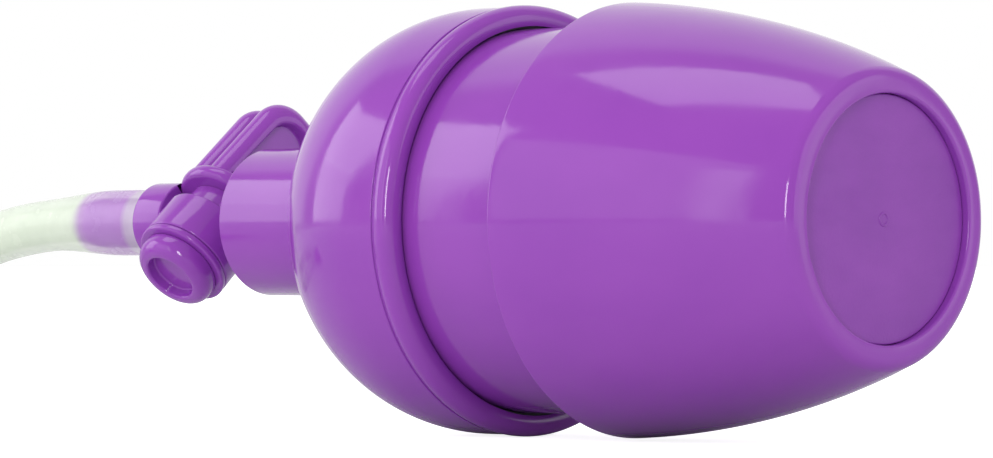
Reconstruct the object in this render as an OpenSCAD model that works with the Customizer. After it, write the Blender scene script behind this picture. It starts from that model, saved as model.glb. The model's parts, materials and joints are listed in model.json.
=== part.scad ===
// Hand-squeezed suction pump with an in-line release valve and its hose.
// The pump lies on its side: its axis runs along X at the height of the bell's rim radius,
// the closed end of the grip faces +X and the hose leaves towards -X. Units are mm.

/* [Grip] */
// Length from the closed end face to the tip of the hose barb
total_len = 142.5; // [140:0.5:146]
// Length of the tapered grip cup
cup_len = 40.4; // [39:0.1:42]
// Radius of the cup at its mouth
cup_mouth_r = 26.8; // [26.5:0.1:27.5]
// Radius of the long convex arc of the cup's side
cup_arc_r = 120; // [110:1:160]
// Wall of the cup
cup_wall = 1.8; // [1.4:0.1:2.2]
// Radius of the recess in the closed end
recess_r = 14.9; // [13:0.1:15.5]
// Depth of the recess in the closed end
recess_depth = 1.0; // [0.6:0.1:1.4]
// Outer radius of the sleeve that slides into the bell
sleeve_r = 24.0; // [23.5:0.1:24.2]
// Travel of the grip
grip_travel = 12.0; // [10.5:0.5:12]

/* [Bell] */
// Largest radius of the bell, which is also the height of the axis
bell_rim_r = 27.0; // [26.9:0.1:28]
// Radius of the domed part of the bell
dome_r = 26.8; // [26.5:0.1:27]
// Depth of the dome from its widest ring to where its curve would close
dome_len = 25.5; // [25:0.1:27]
// Wall of the bell
bell_wall = 1.4; // [1.2:0.1:1.6]
// Radius of the neck
neck_r = 9.6; // [9:0.1:10.5]

/* [Pump] */
// Bore radius of the pump barrel
bore_r = 14.6; // [14:0.1:15]
// Radius of the piston rod
rod_r = 3.0; // [2.5:0.1:3.5]
// Mean radius of the return spring
spring_r = 6.4; // [5.5:0.1:8]
// Radius of the return spring's wire
wire_r = 0.8; // [0.6:0.05:1]
// Turns of the return spring
spring_turns = 9; // [7:1:10]

/* [Release valve] */
// Angle of the cross axis below horizontal at its near end, in degrees
valve_roll = 42; // [30:1:50]
// Radius of the cross barrel
cross_r = 6.4; // [6.2:0.1:6.8]
// Radius of the turning plug
plug_r = 3.6; // [3.4:0.1:3.8]
// Radius of the cap on the near end of the plug
cap_r = 5.5; // [5:0.1:6]
// Radius of the finger dish in that cap
dish_r = 3.4; // [3:0.1:3.8]
// Half width of the key's paddle
paddle_half_w = 6.2; // [5.5:0.1:6.5]
// Half thickness of the key's paddle
paddle_half_t = 4.3; // [3.6:0.1:4.4]
// Distance from the pump's axis to the tip of the paddle
paddle_reach = 19.6; // [17:0.1:22]
// Turn of the key away from the pump's line as it lies, in degrees
key_turn = 12; // [0:1:30]
// Radius of the barrel that the hose is pushed up to
hose_barrel_r = 5.25; // [5:0.05:5.5]

/* [Hose] */
// Outer radius of the hose
hose_r = 3.5; // [3.2:0.1:3.6]
// Largest radius of the barb inside the hose
barb_r = 3.3; // [3.1:0.1:3.4]
// Radius of the passage through the valve, the barb and the connector
passage_r = 1.2; // [1:0.1:1.3]
// Radius of the outermost turn of the stored coil, at the middle of the hose
coil_r = 39; // [38:0.5:42]

/* [Hidden] */

$fn = 96;
axis_h = bell_rim_r;
eps = 0.02;
run_gap = 0.05;
// Radii of the holes that small screws go through and of the ones they cut into
clear_hole_r = 0.9;
thread_hole_r = 0.8;

purple = [0.55, 0.22, 0.72];
milky = [0.88, 0.93, 0.86];
black_rubber = [0.12, 0.12, 0.13];
steel = [0.75, 0.76, 0.78];
white_plastic = [0.9, 0.9, 0.9];

// Stations along the pump, measured from the closed end face towards the hose
bell_front = 56.7;
bead_mid = 58.5;
dome_mid = 64.35;
neck_end = 104.9;
valve_mid = 115.7;
barrel_end = 126.4;
wall_front = recess_depth + 1.6;
wall_back = wall_front + 2.8;
sleeve_front = 33;
sleeve_limit = 71.8;
sleeve_back = sleeve_limit - grip_travel;
cap_front = 53.5;
cap_back = 58.2;
piston_front = 58.5;
piston_back = 64;
piston_seal_mid = 61.25;
piston_screw_front = 62.4;
head_front = 78.3;
head_back = 80.6;
nut_front = 100;
nut_back = 102.6;

// X of a station
function st(a) = total_len / 2 - a;

// Radius of the cup's outside at a station: one long arc that bulges near the mouth
cup_arc_mid = cup_len + 5.8;
cup_arc_base = cup_mouth_r - sqrt(pow(cup_arc_r, 2) - pow(cup_arc_mid - cup_len, 2));

// Radius of the bell at a station behind its widest ring, for a wall set in by t
function dome_at(a, t) = (dome_r - t)
    * sqrt(max(0, 1 - pow((a - dome_mid) / (dome_len - t), 2)));

// A profile drawn as [radius, x] and turned about the pump's axis
module turned() {
    translate([0, 0, axis_h]) rotate([0, 90, 0]) rotate_extrude() children();
}

// A ring or disc between two stations
module ring(a0, a1, r_out, r_in = 0) {
    turned() translate([r_in, st(a1)]) square([r_out - r_in, a1 - a0]);
}

// The cross axis of the release valve: local Z points to its near end, local X stays X
module on_cross() {
    translate([st(valve_mid), 0, axis_h]) rotate([90 + valve_roll, 0, 0]) children();
}

// A plain cylinder on the cross axis between two places
module cross_rod(z0, z1, r) {
    on_cross() translate([0, 0, z0]) cylinder(r = r, h = z1 - z0);
}

// The screws' and vents' places about the pump's axis
module around_axis(count, radius, first = 0) {
    for (i = [0 : count - 1])
        translate([0, 0, axis_h]) rotate([first + i * 360 / count, 0, 0]) translate([0, radius, 0])
            rotate([0, 90, 0]) children();
}

// ---- Grip: everything that the palm pushes ----

// Half section of the cup's outer form, set in by t
module cup_form(t) {
    intersection() {
        translate([cup_arc_base, st(cup_arc_mid)]) circle(r = cup_arc_r - t, $fn = 360);
        translate([0, st(cup_len)]) square([cup_mouth_r + 1, cup_len]);
    }
}

rim_fillet = 1.6;
// Radii of the rod's screw and of its head's seat, and the depth of that seat
rod_screw_r = 1.2;
screw_seat_r = 3.1;
screw_seat_depth = 1.3;
rod_screw_end = 12;
rim_r = cup_arc_base + sqrt(pow(cup_arc_r, 2) - pow(cup_arc_mid - rim_fillet, 2));

module grip_cup() {
    color(purple) difference() {
        turned() difference() {
            union() {
                intersection() {
                    cup_form(0);
                    translate([0, st(cup_len)]) square([cup_mouth_r + 1, cup_len - rim_fillet]);
                }
                translate([0, st(rim_fillet)]) square([rim_r - rim_fillet, rim_fillet]);
                translate([rim_r - rim_fillet, st(rim_fillet)]) circle(r = rim_fillet, $fn = 48);
            }
            // hollow, as far as the sleeve's front
            intersection() {
                cup_form(cup_wall);
                translate([0, st(sleeve_front)]) square([40, sleeve_front - wall_back]);
            }
            // socket for the sleeve
            translate([0, st(cup_len) - 1]) square([sleeve_r, cup_len + 1 - sleeve_front]);
            // recess in the closed end
            translate([0, st(wall_front)]) square([recess_r, wall_front + 1]);
            // seat and hole for the rod's screw
            translate([0, st(wall_front + screw_seat_depth)]) square([screw_seat_r, 2]);
            translate([0, st(wall_back) - 1]) square([rod_screw_r + 0.1, 4]);
        }
    }
}

module end_disc() {
    color(purple) ring(recess_depth, wall_front, recess_r);
}

module rod_screw() {
    color(steel) {
        ring(wall_front + 0.1, wall_front + screw_seat_depth, screw_seat_r - 0.3);
        ring(wall_front + screw_seat_depth - 0.1, rod_screw_end, rod_screw_r);
    }
}

sleeve_wall = 1.4;
module sleeve() {
    color(purple) ring(sleeve_front, sleeve_back, sleeve_r, sleeve_r - sleeve_wall);
}

// Flange of the rod, its narrow end in the piston, and the hole in that end
flange_t = 1.6;
flange_r = 8.2;
rod_end_r = 2;
piston_screw_tip = 57;
module piston_rod() {
    color(white_plastic) difference() {
        union() {
            ring(wall_back, wall_back + flange_t, flange_r);
            ring(wall_back, piston_front, rod_r);
            ring(wall_back, piston_screw_front, rod_end_r);
        }
        ring(wall_back - 1, rod_screw_end, rod_screw_r);
        ring(piston_screw_tip, piston_screw_front + 1, clear_hole_r);
    }
}

// Room between the piston and the barrel, and the seal's wire radius and groove
piston_gap = 0.3;
piston_seal_r = 1;
seal_groove_w = 2.3;
seal_groove_depth = 1.8;
module piston_head() {
    edge_r = bore_r - piston_gap;
    color(white_plastic) turned() difference() {
        translate([rod_end_r, st(piston_back)])
            square([edge_r - rod_end_r, piston_back - piston_front]);
        translate([edge_r - seal_groove_depth, st(piston_seal_mid + seal_groove_w / 2)])
            square([3, seal_groove_w]);
        translate([0, st(piston_back) - 1])
            square([screw_seat_r, piston_back - piston_screw_front + 1]);
    }
}

module piston_seal() {
    color(black_rubber) turned()
        translate([bore_r - run_gap - piston_seal_r, st(piston_seal_mid)])
        circle(r = piston_seal_r, $fn = 32);
}

module piston_screw() {
    color(steel) {
        ring(piston_screw_front, piston_screw_front + 1.4, screw_seat_r - 0.2);
        ring(piston_screw_tip + 0.5, piston_screw_front + 0.1, clear_hole_r);
    }
}

// ---- Bell: everything that the fingers hold ----

// Half section of the dome, set in by t, from its widest ring to the neck
dome_steps = 18;
module dome_form(t) {
    reach = (dome_len - t) * sqrt(1 - pow((neck_r - t) / (dome_r - t), 2));
    polygon(concat([[0, st(dome_mid)]],
        [for (i = [0 : dome_steps]) let (a = dome_mid + reach * sin(90 * i / dome_steps))
            [dome_at(a, t), st(a)]],
        [[0, st(dome_mid + reach)]]));
}

bead_r = 1.8;
// Fine groove between the bead and the short barrel in front of the dome
groove_r = 26.3;
groove_back = 60.15;
mouth_inner_r = sleeve_r + 0.35;
screw_circle_r = 17.4;
neck_bore_r = neck_r - 1.6;
neck_cap_t = 1.5;
boss_r = 2.2;
boss_back = 86;

module bell_housing() {
    color(purple) difference() {
        union() {
            turned() {
                difference() {
                    union() {
                        dome_form(0);
                        // short barrel, fine groove and rolled bead at the mouth
                        translate([0, st(dome_mid)]) square([dome_r, dome_mid - groove_back]);
                        translate([0, st(groove_back)])
                            square([groove_r, groove_back - bead_mid]);
                        translate([bell_rim_r - bead_r, st(bead_mid)]) circle(r = bead_r, $fn = 48);
                    }
                    dome_form(bell_wall);
                    translate([0, st(90)]) square([neck_bore_r, 6]);
                    translate([0, st(dome_mid) - eps]) square([dome_r - bell_wall, 2]);
                    translate([0, st(dome_mid)]) square([mouth_inner_r, dome_mid - bell_front + 1]);
                    translate([0, st(bead_mid)]) square([mouth_inner_r, 10]);
                }
                // neck with its closed end
                translate([neck_bore_r, st(neck_end)]) square([neck_r - neck_bore_r, neck_end - 88]);
                translate([tube_r, st(neck_end)]) square([neck_r - tube_r, neck_cap_t]);
            }
            // bosses for the head plate's screws, trimmed to the dome
            intersection() {
                around_axis(4, screw_circle_r, 45) translate([0, 0, st(boss_back)])
                    cylinder(r = boss_r, h = boss_back - head_back);
                turned() dome_form(bell_wall / 2);
            }
        }
        around_axis(4, screw_circle_r, 45) translate([0, 0, st(83)])
            cylinder(r = thread_hole_r, h = 4, $fn = 32);
    }
}

module wiper_ring() {
    color(black_rubber) ring(57.8, 59.4, mouth_inner_r, sleeve_r + run_gap);
}

barrel_wall = 1.4;
barrel_cap_t = 1.5;
barrel_flange_r = 19.2;
barrel_flange_t = 1.8;
gasket_t = 0.5;
module pump_barrel() {
    back = head_front - gasket_t;
    color(white_plastic) difference() {
        turned() {
            translate([bore_r, st(back)]) square([barrel_wall, back - cap_front - barrel_cap_t]);
            translate([bore_r, st(back)]) square([barrel_flange_r - bore_r, barrel_flange_t]);
        }
        around_axis(4, screw_circle_r, 45) translate([0, 0, st(head_front)])
            cylinder(r = clear_hole_r, h = 4, $fn = 32);
    }
}

vent_circle_r = 10.5;
vent_r = 1.2;
module barrel_cap() {
    color(white_plastic) difference() {
        union() {
            ring(cap_front, cap_front + barrel_cap_t, bore_r + barrel_wall);
            ring(cap_front, cap_back, bore_r);
        }
        ring(cap_front - 1, cap_back + 1, rod_r + run_gap);
        // vents
        around_axis(4, vent_circle_r) translate([0, 0, st(cap_back) - 1])
            cylinder(r = vent_r, h = 7, $fn = 32);
    }
}

washer_t = 0.6;
module spring_washer() {
    color(steel) ring(cap_front - washer_t, cap_front, flange_r - 0.2, rod_r + 0.3);
}

// ---- Return spring, swept as a closed mesh of flat faces ----

spring_front = wall_back + flange_t;
spring_back = cap_front - washer_t;
coil_steps = 14;
ring_sides = 8;

// Frame of a ring: its centre and the two directions that its points use
function spring_ring(i) = let (
        total = spring_turns * coil_steps,
        turn = 360 * i / coil_steps,
        x0 = st(spring_back) + wire_r,
        x1 = st(spring_front) - wire_r,
        x = x0 + (x1 - x0) * i / total,
        out = [0, cos(turn), sin(turn)])
    [for (k = [0 : ring_sides - 1]) let (w = 360 * k / ring_sides)
        [x, 0, axis_h] + out * (spring_r + wire_r * cos(w)) + [wire_r * sin(w), 0, 0]];

// Faces of a tube through the given number of rings, with flat ends
function tube_faces(rings, sides) = concat(
    [[for (k = [sides - 1 : -1 : 0]) k]],
    [for (i = [0 : rings - 2], k = [0 : sides - 1]) let (n = (k + 1) % sides)
        [i * sides + k, i * sides + n, (i + 1) * sides + n, (i + 1) * sides + k]],
    [[for (k = [0 : sides - 1]) (rings - 1) * sides + k]]);

module return_spring() {
    rings = spring_turns * coil_steps + 1;
    color(steel) polyhedron(
        points = [for (i = [0 : rings - 1]) each spring_ring(i)],
        faces = tube_faces(rings, ring_sides), convexity = 10);
}

// ---- Head: plate, check valves and the way in from the neck ----

exhaust_r = 9.5;
gasket_r = 19;
plate_r = 18.6;
plate_boss_r = 4.2;
plate_boss_t = 2.4;
flap_hole_r = 1.4;
intake_tube_r = 2.4;
intake_tube_end = 101;
// Ledges in the valve holes, which keep the flaps' stems in
stem_ledge_r = 0.95;
ledge_front = 79;
ledge_back = 80;

module head_gasket() {
    color(black_rubber) difference() {
        ring(head_front - gasket_t, head_front, gasket_r, bore_r);
        around_axis(4, screw_circle_r, 45) translate([0, 0, st(head_front) - 1])
            cylinder(r = clear_hole_r, h = 4, $fn = 32);
    }
}

module head_plate() {
    color(white_plastic) difference() {
        union() {
            ring(head_front, head_back, plate_r);
            ring(head_front, head_back + plate_boss_t, plate_boss_r);
        }
        ring(head_front - 1, head_back + 5, stem_ledge_r);
        ring(head_front - 1, ledge_front, flap_hole_r);
        ring(ledge_back, head_back + 5, flap_hole_r);
        ring(head_back, head_back + 5, intake_tube_r);
        around_axis(1, exhaust_r, 90) {
            translate([0, 0, st(head_back) - 1]) cylinder(r = stem_ledge_r, h = 6, $fn = 32);
            translate([0, 0, st(ledge_front)]) cylinder(r = flap_hole_r, h = 4, $fn = 32);
            translate([0, 0, st(head_back) - 1])
                cylinder(r = flap_hole_r, h = 1 + head_back - ledge_back, $fn = 32);
        }
        around_axis(4, screw_circle_r, 45) translate([0, 0, st(head_back) - 1])
            cylinder(r = clear_hole_r, h = 6, $fn = 32);
    }
}

screw_head_back = 76;
screw_head_r = 1.3;
screw_tip = 82.8;
module head_screws() {
    color(steel) around_axis(4, screw_circle_r, 45) {
        translate([0, 0, st(screw_head_back)]) cylinder(r = screw_head_r, h = 1.2, $fn = 32);
        translate([0, 0, st(screw_tip)])
            cylinder(r = thread_hole_r, h = screw_tip - screw_head_back + 0.2, $fn = 32);
    }
}

// Rubber flap with a stem and a bulb that holds it in its hole. The bulb's nearest face is
// on the other side of the ledge, far enough off to let the flap lift.
flap_lift = 0.6;
flap_t = 1;
stem_len = ledge_back - head_front + flap_lift + 0.1;
module flap(r) {
    cylinder(r = r, h = flap_t, $fn = 48);
    translate([0, 0, -stem_len]) cylinder(r = stem_ledge_r - 0.45, h = stem_len + eps, $fn = 24);
    translate([0, 0, -stem_len - 0.7]) cylinder(r = stem_ledge_r + 0.2, h = 0.7, $fn = 32);
}

// Opens towards the piston, when the piston draws back
module intake_flap() {
    color(black_rubber) translate([st(head_front), 0, axis_h]) rotate([0, 90, 0]) flap(3.2);
}

// Opens into the bell, when the piston comes in
module exhaust_flap() {
    color(black_rubber) around_axis(1, exhaust_r, 90) translate([0, 0, st(head_back)])
        mirror([0, 0, 1]) flap(2.8);
}

module intake_tube() {
    color(milky) ring(head_back, intake_tube_end, intake_tube_r, intake_tube_r - 1);
}

nut_r = 6.4;
module lock_nut() {
    color(steel) difference() {
        translate([st(nut_back), 0, axis_h]) rotate([0, 90, 0])
            cylinder(r = nut_r, h = nut_back - nut_front, $fn = 6);
        ring(nut_front - 1, nut_back + 1, tube_r);
    }
}

module neck_seal() {
    color(black_rubber) ring(nut_back, neck_end - neck_cap_t, nut_r - 0.4, tube_r);
}

// ---- Release valve ----

waist_r = 4.8;
// Room in the body for the key to turn in
pocket_z = -1.9;
pocket_r = 7.9;
near_z = 7.2;
washer_z = 8.2;
cap_z = 11;
tube_r = 3.4;
tube_front = 99;
barrel_len = 4.8;
barrel_edge_r = 0.6;
near_start = 2.3;
vent_hole_r = 0.6;
stem_r = 2.2;
stem_depth = 1.2;

// Half section of the barb: two saw teeth and a rounded nose
module barb_form() {
    tip = total_len;
    base = 2.7;
    polygon([[0, st(barrel_end)], [base, st(barrel_end)], [base, st(131.5)], [barb_r, st(132)],
        [base + 0.1, st(136.5)], [barb_r - 0.1, st(137)], [base - 0.1, st(tip - 1.2)],
        [base - 0.6, st(tip - 0.3)], [base - 1.2, st(tip)], [0, st(tip)]]);
}

module valve_body() {
    color(purple) difference() {
        union() {
            turned() {
                barb_form();
                // barrel that stops the hose, with a softened edge
                translate([0, st(barrel_end - barrel_edge_r)])
                    square([hose_barrel_r, barrel_len]);
                translate([0, st(barrel_end)]) square([hose_barrel_r - barrel_edge_r, barrel_len]);
                translate([hose_barrel_r - barrel_edge_r, st(barrel_end - barrel_edge_r)])
                    circle(r = barrel_edge_r, $fn = 32);
                // tube that joins the pump's neck
                translate([0, st(barrel_end - 1)]) square([tube_r, barrel_end - 1 - tube_front]);
            }
            cross_rod(near_start, near_z, cross_r);
            cross_rod(pocket_z, near_start + eps, waist_r);
        }
        cross_rod(-12, pocket_z, pocket_r);
        cross_rod(-12, 12, plug_r + run_gap);
        ring(tube_front - 1, total_len + 1, passage_r);
        ring(tube_front - 1, intake_tube_end, intake_tube_r);
        // vent under the waist
        on_cross() rotate([90, 0, 0]) cylinder(r = vent_hole_r, h = 10, $fn = 24);
    }
}

// O-rings of the plug, and the grooves that hold them
seal_wire_r = 0.6;
seal_places = [3.4, 5.6];
groove_floor_r = 2.4;

module valve_plug() {
    color(white_plastic) difference() {
        union() {
            cross_rod(pocket_z, near_z, plug_r);
            cross_rod(-6, washer_z + stem_depth, stem_r);
        }
        // seal grooves
        for (z = seal_places) on_cross() translate([0, 0, z - 0.7]) difference() {
            cylinder(r = plug_r + 1, h = 1.4);
            translate([0, 0, -1]) cylinder(r = groove_floor_r, h = 4);
        }
        // straight way through, and the side way that meets it
        on_cross() rotate([0, 0, key_turn]) {
            rotate([0, 90, 0]) cylinder(r = passage_r, h = 16, center = true);
            rotate([-90, 0, 0]) cylinder(r = vent_hole_r, h = 10, $fn = 24);
        }
    }
}

module plug_seals() {
    color(black_rubber) for (z = seal_places) on_cross() translate([0, 0, z]) rotate_extrude()
        translate([plug_r + run_gap / 2 - seal_wire_r, 0]) circle(r = seal_wire_r, $fn = 24);
}

module stem_washer() {
    color(purple) on_cross() translate([0, 0, near_z + run_gap]) difference() {
        cylinder(r = cross_r, h = washer_z - near_z - run_gap);
        translate([0, 0, -1]) cylinder(r = stem_r, h = 4);
    }
}

module stem_cap() {
    round_r = 1.3;
    dish_depth = 1.5;
    color(purple) on_cross() rotate_extrude() difference() {
        union() {
            translate([0, washer_z]) square([cap_r - round_r, cap_z - washer_z]);
            translate([0, washer_z]) square([cap_r, cap_z - washer_z - round_r]);
            translate([cap_r - round_r, cap_z - round_r]) circle(r = round_r, $fn = 48);
        }
        translate([0, washer_z - 1]) square([stem_r, stem_depth + 1]);
        translate([0, cap_z - dish_depth]) square([dish_r, 3]);
    }
}

// Outline of the paddle in the plane across X, set in by t, with a round tip
paddle_base = -3;
paddle_taper = 0.5;
tip_inset = 1.6;
tip_r = paddle_half_w - tip_inset;
function arc_points(centre, r, from, to, steps) =
    [for (i = [0 : steps]) let (w = from + (to - from) * i / steps)
        centre + r * [cos(w), sin(w)]];
module paddle_outline(t) {
    w = paddle_half_w - t;
    tip_w = w - paddle_taper;
    r = tip_r - t / 2;
    polygon(concat([[w, paddle_base]],
        arc_points([tip_w - r, r + t - paddle_reach], r, 0, -90, 8),
        arc_points([r - tip_w, r + t - paddle_reach], r, -90, -180, 8),
        [[-w, paddle_base]]));
}

// A slice of the paddle between two X places
module paddle_slab(x0, x1, t) {
    translate([x0, 0, 0]) rotate([90, 0, 90]) linear_extrude(x1 - x0) paddle_outline(t);
}

module release_key() {
    rib = 0.35;
    border = 1.9;
    panel = 1.2;
    panel_top = -6.5;
    collar_r = 6.1;
    collar_far = -4.4;
    collar_edge_r = 0.9;
    color(purple) on_cross() rotate([0, 0, key_turn]) difference() {
        union() {
            // collar under the paddle
            rotate_extrude() {
                translate([0, collar_far]) square([collar_r, pocket_z - run_gap - collar_far]);
                translate([collar_r, pocket_z - run_gap - 1.1]) circle(r = collar_edge_r, $fn = 32);
            }
            // two plates with a narrower web between them
            paddle_slab(rib, paddle_half_t, 0);
            paddle_slab(-paddle_half_t, -rib, 0);
            paddle_slab(-rib - eps, rib + eps, 1);
        }
        translate([0, 0, -6]) cylinder(r = stem_r, h = 6);
        // sunk panel on each side
        for (side = [0, 1]) mirror([side, 0, 0]) intersection() {
            paddle_slab(paddle_half_t - panel, paddle_half_t + 1, border);
            translate([0, -20, panel_top - 40]) cube([20, 40, 40]);
        }
    }
}

// ---- Hose ----

cuff_r = barb_r + 1.1;
cuff_front = 127;
cuff_end = 146;

// The hose's end, stretched over the barb
module hose_cuff() {
    front = cuff_front;
    color(milky) turned() difference() {
        polygon([[0, st(front)], [cuff_r - 0.2, st(front)], [cuff_r, st(front + 0.6)],
            [cuff_r, st(134)], [hose_r + 0.5, st(140)], [hose_r, st(cuff_end)], [0, st(cuff_end)]]);
        polygon([[0, st(front - 1)], [barb_r, st(front - 1)], [barb_r, st(137.5)],
            [2.8, st(total_len + 0.5)], [2.4, st(cuff_end) - 1], [0, st(cuff_end) - 1]]);
    }
}

// The free stretch, from the cuff down over the coil's outer turn to its inner one
hose_route = [
    [-74.75, 0, 26.8], [-81, 0, 26.2], [-87, 0.1, 25.2], [-92, 0.4, 24], [-97, 1, 22.5],
    [-102, 2, 20.6], [-107, 3.2, 18.5], [-112, 4.6, 16.3], [-117, 6.1, 14.1],
    [-122, 7.6, 12.1], [-128, 9.1, 10.1], [-134, 10, 8.4]];
// The stretch from the coil's outermost turn to the connector, from where it leaves the turn
tail_route = [
    [0, 0, 3.5], [5.5, 0, 3.6], [11, 0.1, 4.1], [16.2, 0.4, 4.7], [21.2, 0.8, 5]];
tail_turn = 5;

// A ring of points around one place on a route, square to the way the route runs there
function route_ring(route, i, r, sides) = let (
        last = len(route) - 1,
        way = route[min(i + 1, last)] - route[max(i - 1, 0)],
        along = way / norm(way),
        side_way = cross([0, 0, 1], along),
        across = side_way / norm(side_way),
        up = cross(along, across))
    [for (k = [0 : sides - 1]) let (w = 360 * (k + 0.5) / sides)
        route[i] + r * (cos(w) * across + sin(w) * up)];

module swept(route, r, sides) {
    polyhedron(points = [for (i = [0 : len(route) - 1]) each route_ring(route, i, r, sides)],
        faces = tube_faces(len(route), sides), convexity = 6);
}

module hose_tube() {
    color(milky) swept(hose_route, hose_r, 10);
}

// Turns of the stored coil, a flat spiral that grows outwards
turn_pitch = 7.2;
coil_turns = 1.5;
coil_inner = coil_r - coil_turns * turn_pitch;
coil_join = hose_route[len(hose_route) - 1];
coil_x = coil_join.x;
coil_y = coil_join.y - coil_inner;

// A bar with round sides, drawn from one strand's middle to another's
module strand_bar(from, to, r) {
    translate([from, -r]) square([to - from, 2 * r]);
    translate([from, 0]) circle(r = r, $fn = 32);
    translate([to, 0]) circle(r = r, $fn = 32);
}

module hose_coil() {
    color(milky) translate([coil_x, coil_y, hose_r]) rotate_extrude()
        strand_bar(coil_inner, coil_r, hose_r);
}

module at_tail() {
    translate([coil_x, coil_y - coil_r, 0]) children();
}

module hose_tail() {
    color(milky) at_tail() swept(tail_route, hose_r, 10);
}

// Strap around the two strands, on the side of the coil away from the pump
tie_w = 5;
tie_t = 0.8;
tie_angle = 215;
module hose_tie() {
    first = coil_inner + turn_pitch * (tie_angle - 90) / 360;
    color(black_rubber) translate([coil_x, coil_y, hose_r + tie_t]) rotate([90, 0, tie_angle])
        translate([0, 0, -tie_w / 2]) linear_extrude(tie_w) difference() {
            strand_bar(first, first + turn_pitch, hose_r + tie_t);
            strand_bar(first, first + turn_pitch, hose_r);
        }
}

// Straight connector at the hose's far end, with a finger ring and a plain nozzle
connector_ring_r = 5;
socket_len = 5;
nozzle_r = 3;
nozzle_start = 7.4;
nozzle_end = 20;
nozzle_edge = 0.6;
module hose_connector() {
    color(purple) at_tail() translate(tail_route[len(tail_route) - 1])
        rotate([0, 0, tail_turn]) rotate([0, 90, 0]) rotate_extrude() difference() {
            union() {
                square([hose_r + 0.3, socket_len]);
                translate([0, socket_len]) square([connector_ring_r, nozzle_start - socket_len]);
                translate([0, nozzle_start])
                    square([nozzle_r, nozzle_end - nozzle_edge - nozzle_start]);
                polygon([[0, nozzle_end - nozzle_edge], [nozzle_r, nozzle_end - nozzle_edge],
                    [nozzle_r - nozzle_edge, nozzle_end], [0, nozzle_end]]);
            }
            translate([0, -1]) square([passage_r, nozzle_end + 5]);
        }
}

grip_cup();
end_disc();
rod_screw();
sleeve();
piston_rod();
piston_head();
piston_seal();
piston_screw();
bell_housing();
wiper_ring();
pump_barrel();
barrel_cap();
spring_washer();
return_spring();
head_gasket();
head_plate();
head_screws();
intake_flap();
exhaust_flap();
intake_tube();
lock_nut();
neck_seal();
valve_body();
valve_plug();
plug_seals();
stem_washer();
stem_cap();
release_key();
hose_cuff();
hose_tube();
hose_coil();
hose_tail();
hose_tie();
hose_connector();
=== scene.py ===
"""Looks of a hand suction pump that lies on its side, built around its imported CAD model.

Lengths are in metres; MM turns millimetres into them. Stations are distances along the pump's
axis from its closed end, and cross stations are distances along the release valve's axis from
the pump's axis, positive towards the cap.
"""

import json
import math

import bpy
import bmesh
from mathutils import Matrix, Vector


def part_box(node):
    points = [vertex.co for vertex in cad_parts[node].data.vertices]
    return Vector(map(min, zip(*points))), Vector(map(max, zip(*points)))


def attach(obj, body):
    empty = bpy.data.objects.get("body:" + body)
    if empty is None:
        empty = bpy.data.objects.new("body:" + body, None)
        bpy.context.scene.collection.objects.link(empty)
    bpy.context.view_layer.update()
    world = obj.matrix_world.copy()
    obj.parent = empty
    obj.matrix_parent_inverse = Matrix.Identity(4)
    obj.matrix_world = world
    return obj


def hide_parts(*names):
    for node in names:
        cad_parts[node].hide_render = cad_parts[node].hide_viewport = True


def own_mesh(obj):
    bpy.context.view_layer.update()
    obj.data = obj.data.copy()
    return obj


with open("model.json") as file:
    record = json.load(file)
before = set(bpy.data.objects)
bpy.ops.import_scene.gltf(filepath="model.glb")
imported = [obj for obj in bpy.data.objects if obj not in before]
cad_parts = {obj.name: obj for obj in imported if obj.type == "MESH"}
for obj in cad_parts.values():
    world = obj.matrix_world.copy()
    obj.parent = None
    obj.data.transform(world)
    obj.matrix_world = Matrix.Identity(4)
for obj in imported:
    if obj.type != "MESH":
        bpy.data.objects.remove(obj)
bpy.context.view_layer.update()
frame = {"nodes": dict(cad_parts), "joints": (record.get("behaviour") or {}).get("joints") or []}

MM = 0.001

CUP_LOW, CUP_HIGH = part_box("grip_cup")
SLEEVE_LOW, SLEEVE_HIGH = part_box("sleeve")
BELL_LOW, BELL_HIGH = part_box("bell_housing")
BODY_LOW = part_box("valve_body")[0]
DISC_LOW, DISC_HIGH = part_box("end_disc")

CLOSED_END = CUP_HIGH.x
AXIS_Z = (BELL_LOW.z + BELL_HIGH.z) / 2
AXIS = Vector((0, 0, AXIS_Z))

# the release valve's axis, from its hinge
KEY_JOINT = next(j for j in frame["joints"] if j["name"] == "key_turn")
CROSS_MID = Vector(KEY_JOINT["pos_m"])
CROSS_AXIS = Vector(KEY_JOINT["axis"]).normalized()


def place(station):
    """Point on the pump's axis at a station in millimetres."""
    return Vector((CLOSED_END - station * MM, 0, AXIS_Z))


def station_of(x):
    """Station in millimetres of a place along X."""
    return (CLOSED_END - x) / MM


# ---- Camera ----

CAMERA_AZIMUTH = math.radians(43.65)
CAMERA_ELEVATION = math.radians(-0.2)
CAMERA_DISTANCE = 0.6925
CAMERA_AIM = Vector((0.0071, 0, 0.0260))
CAMERA_LENS = 199.4


def make_camera():
    back = Vector(
        (
            math.sin(CAMERA_AZIMUTH) * math.cos(CAMERA_ELEVATION),
            -math.cos(CAMERA_AZIMUTH) * math.cos(CAMERA_ELEVATION),
            math.sin(CAMERA_ELEVATION),
        )
    )
    data = bpy.data.cameras.new("camera")
    data.lens = CAMERA_LENS
    data.sensor_width = 36
    camera = bpy.data.objects.new("camera", data)
    camera.location = CAMERA_AIM + back * CAMERA_DISTANCE
    camera.rotation_euler = (-back).to_track_quat("-Z", "Y").to_euler()
    bpy.context.scene.collection.objects.link(camera)
    bpy.context.scene.camera = camera


# ---- Outlines ----


def arc(centre, radius, start, end, step=5):
    """Points on an arc from one angle to another, in degrees, both ends included."""
    count = max(2, math.ceil(abs(end - start) / step))
    angles = [math.radians(start + (end - start) * i / count) for i in range(count + 1)]
    return [(centre[0] + radius * math.cos(t), centre[1] + radius * math.sin(t)) for t in angles]


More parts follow.
